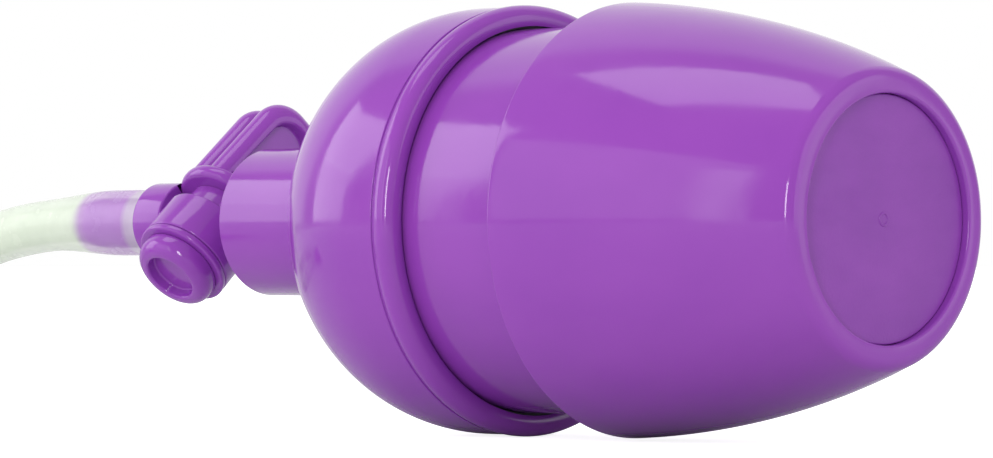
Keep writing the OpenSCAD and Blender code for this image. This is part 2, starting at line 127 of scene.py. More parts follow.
def rounded(corners):
    """A closed outline whose corners are (x, y) or (x, y, fillet radius)."""
    points = []
    for i, corner in enumerate(corners):
        here = Vector(corner[:2])
        if len(corner) < 3:
            points.append(tuple(here))
            continue
        before = (Vector(corners[i - 1][:2]) - here).normalized()
        after = (Vector(corners[(i + 1) % len(corners)][:2]) - here).normalized()
        half = math.acos(max(-1.0, min(1.0, before.dot(after)))) / 2
        middle = here + (before + after).normalized() * (corner[2] / math.sin(half))
        start = here + before * (corner[2] / math.tan(half)) - middle
        end = here + after * (corner[2] / math.tan(half)) - middle
        steps = max(3, math.ceil((180 - math.degrees(2 * half)) / 9))
        for k in range(steps + 1):
            points.append(tuple(middle + start.slerp(end, k / steps) * corner[2]))
    return points


# ---- Meshes ----


def piece(name, mesh, material, body, slot, *nodes):
    """Puts a finished mesh in the scene, on its body, in place of its CAD nodes."""
    obj = bpy.data.objects.new(name, mesh)
    bpy.context.scene.collection.objects.link(obj)
    mesh.materials.clear()
    mesh.materials.append(material)
    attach(obj, body)
    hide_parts(*nodes)
    return obj


def finished(name, bm, sharp=28):
    """Turns a bmesh into a mesh with outward normals, smooth but for edges over sharp degrees."""
    bmesh.ops.remove_doubles(bm, verts=bm.verts, dist=1e-7)
    bmesh.ops.recalc_face_normals(bm, faces=bm.faces)
    for face in bm.faces:
        face.smooth = True
    for edge in bm.edges:
        edge.smooth = not edge.is_manifold or edge.calc_face_angle(0) < math.radians(sharp)
    mesh = bpy.data.meshes.new(name)
    bm.to_mesh(mesh)
    bm.free()
    return mesh


def skin(bm, loops, closed):
    """Joins loops of points, which may shrink to one point, into a surface. An open row of
    loops gets a flat face at each end."""
    rings = [[bm.verts.new(p) for p in loop] for loop in loops]
    count = max(len(ring) for ring in rings)
    pairs = list(zip(rings, rings[1:] + rings[:1] if closed else rings[1:]))
    for first, second in pairs:
        if len(first) == 1 and len(second) == 1:
            continue
        for k in range(count):
            n = (k + 1) % count
            corners = [first[k % len(first)], first[n % len(first)]]
            corners += [second[n % len(second)], second[k % len(second)]]
            bm.faces.new(list(dict.fromkeys(corners)))
    if not closed:
        bm.faces.new(rings[0][::-1])
        bm.faces.new(rings[-1])


def turn(bm, outline, origin, direction, segments=192):
    """Turns a closed outline of (distance along, radius), in millimetres, about a line."""
    side = direction.orthogonal().normalized()
    up = direction.cross(side)
    angles = [2 * math.pi * k / segments for k in range(segments)]
    outs = [side * math.cos(t) + up * math.sin(t) for t in angles]
    loops = []
    for along, radius in outline:
        middle = origin + direction * along * MM
        loops.append([middle + out * radius * MM for out in outs] if radius > 1e-6 else [middle])
    skin(bm, loops, True)


def turned(name, outline, origin, direction, segments=192, sharp=28):
    bm = bmesh.new()
    turn(bm, outline, origin, direction, segments)
    return finished(name, bm, sharp)


def rod(start, end, radius, segments=64):
    """A plain cylinder between two points, as a mesh to cut or join with."""
    bm = bmesh.new()
    along = end - start
    reach = along.length / MM
    outline = [(0, 0), (0, radius), (reach, radius), (reach, 0)]
    turn(bm, outline, start, along.normalized(), segments)
    return finished("rod", bm)


def combined(name, mesh, joins=(), cuts=(), sharp=28):
    """A mesh with others joined to it and cut from it, made smooth again."""
    base = bpy.data.objects.new(name, mesh)
    bpy.context.scene.collection.objects.link(base)
    tools = []
    for kind, meshes in (("UNION", joins), ("DIFFERENCE", cuts)):
        for other in meshes:
            tool = bpy.data.objects.new("tool", other)
            bpy.context.scene.collection.objects.link(tool)
            tools.append(tool)
            change = base.modifiers.new(kind, "BOOLEAN")
            change.operation = kind
            change.solver = "EXACT"
            change.object = tool
    bpy.context.view_layer.update()
    made = bpy.data.meshes.new_from_object(base.evaluated_get(bpy.context.evaluated_depsgraph_get()))
    for obj in [base, *tools]:
        bpy.data.objects.remove(obj)
    bm = bmesh.new()
    bm.from_mesh(made)
    bmesh.ops.dissolve_degenerate(bm, dist=1e-7, edges=bm.edges)
    return finished(name, bm, sharp)


def tube_loops(path, radius_at, sides, side=Vector((0, 1, 0))):
    """Rings of points along a path, with radius_at(distance) in metres."""
    loops, far = [], 0.0
    angles = [2 * math.pi * k / sides for k in range(sides)]
    for i, point in enumerate(path):
        before, after = path[max(i - 1, 0)], path[min(i + 1, len(path) - 1)]
        along = (after - before).normalized()
        side = (side - along * side.dot(along)).normalized()
        up = along.cross(side)
        if i:
            far += (point - path[i - 1]).length
        radius = radius_at(far)
        loops.append([point + (side * math.cos(t) + up * math.sin(t)) * radius for t in angles])
    return loops


# ---- Materials ----


def new_material(name, base, roughness, metallic=0.0):
    material = bpy.data.materials.new(name)
    material.use_nodes = True
    material.diffuse_color = (*base, 1)
    shader = material.node_tree.nodes["Principled BSDF"]
    shader.inputs["Base Color"].default_value = (*base, 1)
    shader.inputs["Roughness"].default_value = roughness
    shader.inputs["Metallic"].default_value = metallic
    return material, material.node_tree, shader


def noise(tree, scale, detail=3.0, stretch=None):
    """A noise value that sits in the object. stretch scales the coordinates along X, Y and Z."""
    where = tree.nodes.new("ShaderNodeTexCoord").outputs["Object"]
    if stretch:
        mapping = tree.nodes.new("ShaderNodeMapping")
        mapping.inputs["Scale"].default_value = stretch
        tree.links.new(where, mapping.inputs["Vector"])
        where = mapping.outputs["Vector"]
    texture = tree.nodes.new("ShaderNodeTexNoise")
    texture.inputs["Scale"].default_value = scale
    texture.inputs["Detail"].default_value = detail
    tree.links.new(where, texture.inputs["Vector"])
    return texture.outputs["Fac"]


def spread(tree, value, low, high, start=0.3, end=0.7):
    """Maps a noise value to a range."""
    node = tree.nodes.new("ShaderNodeMapRange")
    node.inputs["From Min"].default_value = start
    node.inputs["From Max"].default_value = end
    node.inputs["To Min"].default_value = low
    node.inputs["To Max"].default_value = high
    tree.links.new(value, node.inputs["Value"])
    return node.outputs["Result"]


def tint(tree, factor, first, second):
    """A colour between two, by a factor."""
    node = tree.nodes.new("ShaderNodeMix")
    node.data_type = "RGBA"
    node.inputs["A"].default_value = (*first, 1)
    node.inputs["B"].default_value = (*second, 1)
    tree.links.new(factor, node.inputs["Factor"])
    return node.outputs["Result"]


def bump(tree, shader, height, strength, distance, socket="Normal"):
    node = tree.nodes.new("ShaderNodeBump")
    node.inputs["Strength"].default_value = strength
    node.inputs["Distance"].default_value = distance
    tree.links.new(height, node.inputs["Height"])
    tree.links.new(node.outputs["Normal"], shader.inputs[socket])


PURPLE = (0.290, 0.056, 0.437)
PURPLE_DEEP = (0.264, 0.048, 0.412)


def gloss_purple():
    """Glossy moulded plastic: a faint flow of pigment, a trace of orange peel and stray dust."""
    material, tree, shader = new_material("gloss_purple", PURPLE, 0.12)
    pigment = spread(tree, noise(tree, 45, 4, (1, 1.6, 1.6)), 0, 1)
    body_colour = tint(tree, pigment, PURPLE, PURPLE_DEEP)
    where = tree.nodes.new("ShaderNodeTexCoord").outputs["Object"]
    cells = tree.nodes.new("ShaderNodeTexVoronoi")
    cells.inputs["Scale"].default_value = 95
    tree.links.new(where, cells.inputs["Vector"])
    near = spread(tree, cells.outputs["Distance"], 1, 0, 0.012, 0.03)
    chosen = tree.nodes.new("ShaderNodeSeparateColor")
    tree.links.new(cells.outputs["Color"], chosen.inputs["Color"])
    rare = spread(tree, chosen.outputs["Red"], 0, 0.75, 0.72, 0.74)
    speck = tree.nodes.new("ShaderNodeMath")
    speck.operation = "MULTIPLY"
    tree.links.new(near, speck.inputs[0])
    tree.links.new(rare, speck.inputs[1])
    dusty = tree.nodes.new("ShaderNodeMix")
    dusty.data_type = "RGBA"
    dusty.inputs["B"].default_value = (0.80, 0.62, 0.86, 1)
    tree.links.new(body_colour, dusty.inputs["A"])
    tree.links.new(speck.outputs["Value"], dusty.inputs["Factor"])
    tree.links.new(dusty.outputs["Result"], shader.inputs["Base Color"])
    tree.links.new(spread(tree, noise(tree, 160, 5), 0.075, 0.15), shader.inputs["Roughness"])
    bump(tree, shader, noise(tree, 420, 2), 0.05, 0.0002)
    return material


def satin_purple():
    """The closed end's disc, a little rough from the mould, with faint drag marks."""
    material, tree, shader = new_material("satin_purple", PURPLE, 0.36)
    cloud = spread(tree, noise(tree, 110, 5, (1, 1, 2)), 0, 1)
    colour = tint(tree, cloud, (0.26, 0.045, 0.40), (0.225, 0.036, 0.36))
    tree.links.new(colour, shader.inputs["Base Color"])
    tree.links.new(spread(tree, noise(tree, 300, 6), 0.30, 0.44), shader.inputs["Roughness"])
    bump(tree, shader, noise(tree, 2400, 4), 0.25, 0.0001)
    return material


def metal():
    """Drawn and turned steel with fine lines."""
    material, tree, shader = new_material("steel", (0.62, 0.63, 0.65), 0.28, 1.0)
    lines = noise(tree, 900, 3, (6, 1, 1))
    tree.links.new(spread(tree, lines, 0.2, 0.38), shader.inputs["Roughness"])
    colour = tint(tree, spread(tree, noise(tree, 240), 0, 1), (0.66, 0.67, 0.69), (0.55, 0.56, 0.58))
    tree.links.new(colour, shader.inputs["Base Color"])
    bump(tree, shader, lines, 0.15, 0.00005)
    return material


def white_plastic():
    """Plain moulded plastic of the inner pieces, slightly mottled."""
    material, tree, shader = new_material("white_plastic", (0.78, 0.78, 0.75), 0.38)
    mottle = spread(tree, noise(tree, 130, 4), 0, 1)
    tree.links.new(tint(tree, mottle, (0.80, 0.80, 0.77), (0.71, 0.71, 0.67)),
                   shader.inputs["Base Color"])
    tree.links.new(spread(tree, noise(tree, 500), 0.32, 0.46), shader.inputs["Roughness"])
    bump(tree, shader, noise(tree, 1500), 0.12, 0.0001)
    return material


def soft_rubber(name, base, high, roughness):
    """Matt rubber with a fine grain and dusty patches."""
    material, tree, shader = new_material(name, base, roughness)
    dust = spread(tree, noise(tree, 220, 5), 0, 1, 0.45, 0.8)
    tree.links.new(tint(tree, dust, base, high), shader.inputs["Base Color"])
    tree.links.new(spread(tree, noise(tree, 700), roughness - 0.08, roughness + 0.08),
                   shader.inputs["Roughness"])
    bump(tree, shader, noise(tree, 3000, 4), 0.3, 0.0001)
    return material


def milky_hose():
    """Soft translucent tube: cloudy, and stretched thin over the barb, where a painted lilac tint
    stands in for the barb seen through it.
    """
    material, tree, shader = new_material("milky_hose", (0.86, 0.93, 0.80), 0.22)
    cloud = spread(tree, noise(tree, 90, 3), 0, 1)
    milk = tint(tree, cloud, (0.85, 0.92, 0.79), (0.80, 0.89, 0.75))
    where = tree.nodes.new("ShaderNodeTexCoord").outputs["Object"]
    split = tree.nodes.new("ShaderNodeSeparateXYZ")
    tree.links.new(where, split.inputs["Vector"])
    # painted see-through: from the barb's tip to the hose's end the hose is tinted lilac, half as
    # strong at its very end, in place of the barb showing through it
    past_tip = spread(tree, split.outputs["X"], 0, 1, -0.0684, -0.0664)
    past_tip.node.interpolation_type = "SMOOTHSTEP"
    before_end = spread(tree, split.outputs["X"], 1, 0.5, -0.0584, -0.0574)
    over = tree.nodes.new("ShaderNodeMath")
    over.operation = "MULTIPLY"
    tree.links.new(past_tip, over.inputs[0])
    tree.links.new(before_end, over.inputs[1])
    colour = tree.nodes.new("ShaderNodeMix")
    colour.data_type = "RGBA"
    colour.inputs["B"].default_value = (0.58, 0.31, 0.74, 1)
    tree.links.new(over.outputs["Value"], colour.inputs["Factor"])
    tree.links.new(milk, colour.inputs["A"])
    tree.links.new(colour.outputs["Result"], shader.inputs["Base Color"])
    thick = spread(tree, noise(tree, 200), 0.5, 0.6)
    tree.links.new(thick, shader.inputs["Alpha"])
    tree.links.new(spread(tree, noise(tree, 260, 4), 0.16, 0.3), shader.inputs["Roughness"])
    bump(tree, shader, noise(tree, 500, 2, (0.3, 1, 1)), 0.08, 0.0002)
    return material


# ---- Hose: its route, its tube and what is on it ----

HOSE_DIAMETER = 7 * MM
# listed places along the free stretch, down from the barb and over the coil's outer turn
HOSE_ROUTE = [
    (-0.05575, 0, 0.027), (-0.062, 0, 0.027), (-0.068, 0, 0.027), (-0.07475, 0, 0.0268),
    (-0.081, 0, 0.0262), (-0.087, 0.0001, 0.0252), (-0.092, 0.0004, 0.024),
    (-0.097, 0.001, 0.0225), (-0.102, 0.002, 0.0206), (-0.107, 0.0032, 0.0185),
    (-0.112, 0.0046, 0.0163), (-0.117, 0.0061, 0.0141), (-0.122, 0.0076, 0.0121),
    (-0.128, 0.0091, 0.0101), (-0.134, 0.010, 0.0084),
]
# from where the outermost turn ends to the connector
TAIL_ROUTE = [
    (0, 0, 0.0035), (0.0055, 0, 0.0036), (0.011, 0.0001, 0.0041),
    (0.0162, 0.0004, 0.0047), (0.0212, 0.0008, 0.005),
]
TAIL_TURN = math.radians(5)
COIL_TURNS = 1.5
COIL_PITCH = 0.0072
COIL_INNER = 0.0282
COIL_STEPS = 72
COIL_MIDDLE = Vector((HOSE_ROUTE[-1][0], HOSE_ROUTE[-1][1] - COIL_INNER, 0))
TIE_ANGLE = 215
TIE_THICKNESS = 0.8 * MM
TIE_SPREAD = 30


def coil_point(turns, height):
    angle = math.radians(90 + 360 * turns)
    radius = COIL_INNER + COIL_PITCH * turns
    return COIL_MIDDLE + Vector((radius * math.cos(angle), radius * math.sin(angle), height))


def coil_route():
    """The stored turns: a flat spiral that opens outwards, once it has come down to the floor.
    The strap lifts it by its own thickness."""
    start_z, floor_z = HOSE_ROUTE[-1][2], HOSE_DIAMETER / 2
    points = []
    for i in range(1, round(COIL_TURNS * COIL_STEPS) + 1):
        turns = i / COIL_STEPS
        fall = min(1.0, turns * 5)
        height = start_z + (floor_z - start_z) * fall * fall * (3 - 2 * fall)
        away = (90 + 360 * turns - TIE_ANGLE + 180) % 360 - 180
        height += TIE_THICKNESS * math.exp(-((away / TIE_SPREAD) ** 2))
        points.append(coil_point(turns, height))
    return points


def tail_start():
    return coil_point(COIL_TURNS, 0)


def smooth(points, steps=4):
    """A Catmull-Rom curve through the points."""
    fine = []
    for i in range(len(points) - 1):
        a, b = points[max(i - 1, 0)], points[i]
        c, d = points[i + 1], points[min(i + 2, len(points) - 1)]
        for k in range(steps):
            t = k / steps
            bend = (a * 2 - b * 5 + c * 4 - d) * t * t + (b * 3 - a - c * 3 + d) * t**3
            fine.append((b * 2 + (c - a) * t + bend) / 2)
    return fine + [points[-1]]


def eased(value, start, end):
    """0 before start, 1 after end, and smooth between them."""
    share = min(1.0, max(0.0, (value - start) / (end - start)))
    return share * share * (3 - 2 * share)


# the hose's radii in millimetres, stretched over the barb and at its own size
STRETCHED_R = 4.38
STRETCHED_BORE_R = 3.36
FREE_R = 3.5
FREE_BORE_R = 2.4


def hose_outer(far):
    """Outer radius of the hose: stretched over the barb, then easing down to its own size."""
    return (STRETCHED_R - (STRETCHED_R - FREE_R) * eased(far / MM, 7, 21)) * MM


def hose_inner(far):
    """Inner radius, from the barb's to the free bore."""
    return (STRETCHED_BORE_R - (STRETCHED_BORE_R - FREE_BORE_R) * eased(far / MM, 10, 17)) * MM


def make_hose(material, connector, tie):
    start = [Vector(p) for p in HOSE_ROUTE]
    tail = [tail_start() + Vector(p) for p in TAIL_ROUTE[1:]]
    path = smooth(start + coil_route() + tail, 3)
    outside = tube_loops(path, hose_outer, 40)
    inside = tube_loops(path, hose_inner, 40)
    bm = bmesh.new()
    skin(bm, outside + inside[::-1], True)
    hose = piece("hose", finished("hose", bm, 50), material, "bell", "hose_clear",
                 "hose_cuff", "hose_tube", "hose_coil", "hose_tail")
    return hose


def make_connector(material):
    """Straight connector with a finger ring, a few grip grooves and a plain nozzle."""
    corners = [(0, 1.2), (0, 3.8, 0.5)]
    for place_along in (1.6, 2.6, 3.6):
        corners += [(place_along, 3.8, 0.12), (place_along + 0.2, 3.5, 0.12)]
        corners += [(place_along + 0.4, 3.8, 0.12)]
    corners += [(5, 3.8, 0.3), (5, 5, 0.5), (7.4, 5, 0.5), (7.4, 3, 0.3), (20, 3, 0.7)]
    corners += [(20, 1.2, 0.2)]
    start = tail_start() + Vector(TAIL_ROUTE[-1])
    along = Vector((math.cos(TAIL_TURN), math.sin(TAIL_TURN), 0))
    mesh = turned("hose_end_connector", rounded(corners), start, along, 96)
    return piece("hose_end_connector", mesh, material, "bell", "purple_gloss", "hose_connector")


def make_tie(material):
    """Moulded strap around the two strands, with a rounded section."""
    low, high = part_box("hose_tie")
    middle = (low + high) / 2
    across = Vector((math.cos(math.radians(TIE_ANGLE)), math.sin(math.radians(TIE_ANGLE)), 0))
    along = Vector((-across.y, across.x, 0))
    half_gap = COIL_PITCH / 2
    inner = HOSE_DIAMETER / 2

    def stadium(radius):
        loop = []
        for start, side in ((-90, half_gap), (90, -half_gap)):
            for k in range(25):
                t = math.radians(start + 180 * k / 24)
                out = across * (math.cos(t) * radius + side) + Vector((0, 0, math.sin(t) * radius))
                loop.append(middle + out)
        return loop

    section = rounded([(-2.5, 0.0, 0.25), (2.5, 0.0, 0.25), (2.5, 0.8, 0.3), (-2.5, 0.8, 0.3)])
    loops = []
    for width, rise in section:
        loops.append([p + along * width * MM for p in stadium(inner + rise * MM)])
    bm = bmesh.new()
    skin(bm, loops, True)
    mesh = finished("hose_strap", bm, 40)
    return piece("hose_strap", mesh, material, "bell", "strap", "hose_tie")


# ---- Grip ----

TOWARDS_HOSE = Vector((-1, 0, 0))
FACE = Vector((CLOSED_END, 0, AXIS_Z))
CUP_LENGTH = station_of(CUP_LOW.x)
CUP_MOUTH_R = (CUP_HIGH.z - CUP_LOW.z) / 2 / MM
CUP_ARC_R = 120
CUP_ARC_MID = CUP_LENGTH + 5.8
CUP_WALL = 1.8
RECESS_R = (DISC_HIGH.z - DISC_LOW.z) / 2 / MM
DISC_FRONT = station_of(DISC_HIGH.x)
DISC_BACK = station_of(DISC_LOW.x)
SLEEVE_R = (SLEEVE_HIGH.z - SLEEVE_LOW.z) / 2 / MM
SLEEVE_FRONT = station_of(SLEEVE_HIGH.x)
SLEEVE_BACK = station_of(SLEEVE_LOW.x)
SLEEVE_WALL = 1.4
RIM_FILLET = 1.8
BACK_WALL = 2.8
SCREW_HOLE_R = 1.3
SCREW_HEAD_R = 3.1
SCREW_HEAD_T = 1.3


def cup_radius(station):
    """Radius of the cup's side, one long arc that bulges near its mouth."""
    mouth = math.sqrt(CUP_ARC_R**2 - (CUP_ARC_MID - CUP_LENGTH) ** 2)
    return CUP_MOUTH_R - mouth + math.sqrt(CUP_ARC_R**2 - (station - CUP_ARC_MID) ** 2)


def stations(start, end, count):
    return [start + (end - start) * i / (count - 1) for i in range(count)]


def make_grip(gloss, satin):
    back_wall, seat = DISC_BACK + BACK_WALL, DISC_BACK + SCREW_HEAD_T
    fit = SLEEVE_R + 0.01
    corners = [(0, RECESS_R, 0.4), (0, cup_radius(0), RIM_FILLET)]
    corners += [(a, cup_radius(a)) for a in stations(4, CUP_LENGTH - 1.5, 40)]
    corners += [(CUP_LENGTH, CUP_MOUTH_R, 0.35), (CUP_LENGTH, fit, 0.1), (SLEEVE_FRONT, fit)]
    corners += [(a, cup_radius(a) - CUP_WALL) for a in stations(SLEEVE_FRONT, back_wall, 20)]
    corners += [(back_wall, SCREW_HOLE_R), (seat, SCREW_HOLE_R), (seat, SCREW_HEAD_R)]
    corners += [(DISC_BACK, SCREW_HEAD_R), (DISC_BACK, RECESS_R)]
    cup = turned("cup_shell", rounded(corners), FACE, TOWARDS_HOSE, 256)
    piece("cup_shell", cup, gloss, "grip", "purple_gloss", "grip_cup")

    edge = RECESS_R - 0.06
    corners = [(DISC_FRONT, 0), (DISC_FRONT, 0.55), (DISC_FRONT - 0.1, 0.62, 0.04)]
    corners += [(DISC_FRONT - 0.1, 0.84, 0.04), (DISC_FRONT, 0.9), (DISC_FRONT, edge, 0.2)]
    corners += [(DISC_BACK, edge), (DISC_BACK, 0)]
    disc = turned("recessed_disc", rounded(corners), FACE, TOWARDS_HOSE, 192)
    piece("recessed_disc", disc, satin, "grip", "purple_satin", "end_disc")

    inner = SLEEVE_R - SLEEVE_WALL
    corners = [(SLEEVE_FRONT, SLEEVE_R), (SLEEVE_BACK, SLEEVE_R, 0.5)]
    corners += [(SLEEVE_BACK, inner, 0.4), (SLEEVE_FRONT, inner)]
    sleeve = turned("sliding_sleeve", rounded(corners), FACE, TOWARDS_HOSE, 256)
    piece("sliding_sleeve", sleeve, gloss, "grip", "purple_gloss", "sleeve")


# ---- Bell ----

BELL_RIM_R = (BELL_HIGH.z - BELL_LOW.z) / 2 / MM
BEAD_R = 1.8
BEAD_MID = station_of(BELL_HIGH.x) + BEAD_R
MOUTH_R = SLEEVE_R + 0.35
GROOVE_R = 26.6
STEP_AT = 59.8
DOME_MID = 64.35
DOME_R = 26.8
DOME_LENGTH = 25.5
BELL_WALL = 1.4
NECK_R = 9.6
NECK_END = station_of(BELL_LOW.x)
NECK_WALL = 1.6
SCREW_CIRCLE_R = 17.4
BOSS_R = 1.9
BOSS_SPAN = (80.6, 81.7)
BOSS_HOLE_R = 0.8
BOSS_HOLE_SPAN = (80, 82.4)


def dome(inset, end_radius, count=64):
    """Points on the dome's curve from its widest ring to a radius, for a wall set in by inset."""
    radius, reach = DOME_R - inset, DOME_LENGTH - inset
    last = math.acos(end_radius / radius)
    turns = [last * i / (count - 1) for i in range(count)]
    return [(DOME_MID + reach * math.sin(t), radius * math.cos(t)) for t in turns]


def make_bell(gloss):
    centre = (BEAD_MID, BELL_RIM_R - BEAD_R)
    inner_angle = math.degrees(math.asin((centre[1] - MOUTH_R) / BEAD_R))
    groove_angle = math.degrees(math.asin((GROOVE_R - centre[1]) / BEAD_R))
    neck_bore = NECK_R - NECK_WALL
    corners = arc(centre, BEAD_R, 180 + inner_angle, groove_angle)
    corners += [(STEP_AT, GROOVE_R, 0.05), (STEP_AT, DOME_R, 0.14)]
    outer = dome(0, NECK_R)
    corners += outer[:-1] + [(outer[-1][0], NECK_R, 0.12), (NECK_END, NECK_R, 0.35)]
    neck_floor = NECK_END - 1.5
    corners += [(NECK_END, TUBE_R), (neck_floor, TUBE_R), (neck_floor, neck_bore)]
    corners += dome(BELL_WALL, neck_bore)[::-1]
    corners += [(DOME_MID - 2, DOME_R - BELL_WALL), (DOME_MID - 2, MOUTH_R)]
    shell = turned("shell", rounded(corners), FACE, TOWARDS_HOSE, 256)
    bosses, holes = [], []
    for k in range(4):
        t = math.radians(45 + 90 * k)
        out = Vector((0, math.cos(t), math.sin(t))) * SCREW_CIRCLE_R * MM
        start, end = (place(station) + out for station in BOSS_SPAN)
        bosses.append(rod(start, end, BOSS_R, 32))
        start, end = (place(station) + out for station in BOSS_HOLE_SPAN)
        holes.append(rod(start, end, BOSS_HOLE_R, 24))
    mesh = combined("bell_shell", shell, bosses, holes)
    piece("bell_shell", mesh, gloss, "bell", "purple_gloss", "bell_housing")


# ---- Release valve ----

BARREL_END = 126.4
BARREL_R = 5.25
BARREL_START = 121.0
TUBE_R = 3.4
BARB_R = 3.3
BARB_ROOT_R = 2.7
BARB_TIP = station_of(BODY_LOW.x)
BARB_RIDGES = (132, 137)
TUBE_START = 99
COUNTERBORE_R = 2.4
VENT_R = 0.6
PASSAGE_R = 1.2
NEAR_START_S = 1.3
CROSS_R = 6.4
WAIST_R = 4.8
PLUG_R = 3.65
POCKET_S = -1.9
POCKET_R = 7.25
NEAR_S = 7.2
WASHER_S = 8.2
CAP_S = 11
CAP_R = 5.5
DISH_R = 3.4
DISH_DEPTH = 1.5
STEM_R = 2.2
STEM_DEPTH = 1.2
GAP = 0.05


def cross_place(s):
    return CROSS_MID + CROSS_AXIS * s * MM


def cross_up():
    """The direction square to both axes, which the paddle's narrow edges face."""
    return Vector((1, 0, 0)).cross(CROSS_AXIS).normalized()


def make_valve_body(gloss):
    first, second = BARB_RIDGES
    corners = [(TUBE_START, PASSAGE_R), (TUBE_START, TUBE_R, 0.2), (BARREL_START, TUBE_R)]
    corners += [(BARREL_START, BARREL_R, 0.3), (BARREL_END, BARREL_R, 0.6)]
    corners += [(BARREL_END, BARB_ROOT_R), (first - 0.6, BARB_ROOT_R, 0.2)]
    corners += [(first, BARB_R, 0.15), (second - 0.5, BARB_ROOT_R + 0.1, 0.2)]
    corners += [(second, BARB_R - 0.1, 0.15)]
    corners += [(BARB_TIP - 1, BARB_ROOT_R - 0.1, 0.6), (BARB_TIP, 1.9, 0.5)]
    corners += [(BARB_TIP, PASSAGE_R, 0.2)]
    line = turned("line", rounded(corners), FACE, TOWARDS_HOSE, 128)
    near = [(NEAR_START_S, 0), (NEAR_START_S, CROSS_R, 0.25)]
    near = rounded(near + [(NEAR_S, CROSS_R, 0.25), (NEAR_S, 0)])
    barrel = turned("barrel", near, CROSS_MID, CROSS_AXIS, 160)
    waist = rod(cross_place(POCKET_S - 1), cross_place(3.1), WAIST_R, 128)
    cuts = [rod(cross_place(-14), cross_place(POCKET_S), POCKET_R, 128),
            rod(cross_place(-12), cross_place(13), PLUG_R, 96),
            rod(place(TUBE_START - 2), place(BARB_TIP + 2), PASSAGE_R - 0.01, 48),
            rod(place(TUBE_START - 1), place(TUBE_START + 2), COUNTERBORE_R, 48),
            rod(CROSS_MID, CROSS_MID + cross_up() * 10 * MM, VENT_R, 24)]
    mesh = combined("valve_shell", line, [barrel, waist], cuts, 24)
    piece("valve_shell", mesh, gloss, "bell", "purple_gloss", "valve_body")


def make_cap(gloss):
    corners = [(NEAR_S + GAP, STEM_R), (NEAR_S + GAP, CROSS_R, 0.3)]
    corners += [(WASHER_S, CROSS_R, 0.35), (WASHER_S, STEM_R)]
    washer = turned("cap_washer", rounded(corners), CROSS_MID, CROSS_AXIS, 128)
    piece("cap_washer", washer, gloss, "key", "purple_gloss", "stem_washer")

    corners = [(WASHER_S, STEM_R), (WASHER_S, CAP_R, 0.3), (CAP_S, CAP_R, 1.7)]
    dish, stem_top = CAP_S - DISH_DEPTH, WASHER_S + STEM_DEPTH
    corners += [(CAP_S, DISH_R, 0.35), (dish, DISH_R, 0.3), (dish, 0)]
    corners += [(stem_top, 0), (stem_top, STEM_R)]
    cap = turned("dished_cap", rounded(corners), CROSS_MID, CROSS_AXIS, 128)
    piece("dished_cap", cap, gloss, "key", "purple_gloss", "stem_cap")


KEY_TURN = math.radians(12)
PADDLE_HALF_W = 6.2
PADDLE_TAPER = 0.5
PADDLE_REACH = 19.6
PADDLE_BASE = -3.0
TIP_R = 4.6
RIDGE_R = 2.0
RIDGE_MID = 2.3
GROOVE_DEPTH = 1.75
RIDGE_START, RIDGE_SWEEP, RIDGE_STEPS = -78, 160, 19
PANEL_TOP = -6.8
# from the ridge to the sunk panel: place across the paddle, inset, top and corner radius
PANEL_LEVELS = [
    (4.3, 2.05, -5.6, 0.5), (4.27, 2.25, -5.9, 0.7), (4.05, 2.45, -6.3, 0.8),
    (3.3, 2.55, PANEL_TOP, 0.9), (3.12, 2.7, PANEL_TOP - 0.15, 0.9),
]
COLLAR_R = 7.0
COLLAR_FAR_S = -4.2


def paddle_loop(x, inset, top, corner):
    """The paddle's outline at one place across it, set in by inset, as points in the frame."""
    half = PADDLE_HALF_W - inset
    tip = half - PADDLE_TAPER
    tip_r = min(TIP_R - inset / 2, tip - 0.05)
    bottom = inset - PADDLE_REACH + tip_r
    flat = arc((half - corner, top - corner), corner, 90, 0, 15)
    flat += arc((tip - tip_r, bottom), tip_r, 0, -90, 7.5)
    flat += arc((tip_r - tip, bottom), tip_r, -90, -180, 7.5)
    flat += arc((corner - half, top - corner), corner, 180, 90, 15)
    up = cross_up()
    return [CROSS_MID + (Vector((x, 0, 0)) + up * v + CROSS_AXIS * s) * MM for v, s in flat]


def make_key(gloss):
    """Collar and paddle: two half-round ridges with a groove between, and a sunk panel each side."""
    side = [(0.0, GROOVE_DEPTH)]
    for i in range(RIDGE_STEPS + 1):
        t = math.radians(RIDGE_START + RIDGE_SWEEP * i / RIDGE_STEPS)
        side.append((RIDGE_MID + RIDGE_R * math.sin(t), RIDGE_R * (1 - math.cos(t))))
    levels = [(x, inset, PADDLE_BASE, 0.05) for x, inset in side]
    levels += PANEL_LEVELS
    both = [(-x, *rest) for x, *rest in levels[:0:-1]] + levels
    bm = bmesh.new()
    skin(bm, [paddle_loop(*level) for level in both], False)
    corners = [(POCKET_S - GAP, 0), (POCKET_S - GAP, COLLAR_R, 0.95)]
    corners += [(COLLAR_FAR_S, COLLAR_R, 1.1), (COLLAR_FAR_S, 0)]
    turn(bm, rounded(corners), CROSS_MID, CROSS_AXIS, 160)
    mesh = finished("release_paddle", bm, 40)
    turned_key = Matrix.Rotation(KEY_TURN, 4, CROSS_AXIS)
    mesh.transform(Matrix.Translation(CROSS_MID) @ turned_key @ Matrix.Translation(-CROSS_MID))
    piece("release_paddle", mesh, gloss, "key", "purple_gloss", "release_key")


# ---- Inside ----

SPRING_TURNS = 9
SPRING_R = 6.4 * MM
WIRE_R = 0.8 * MM
SPRING_STEPS = 40


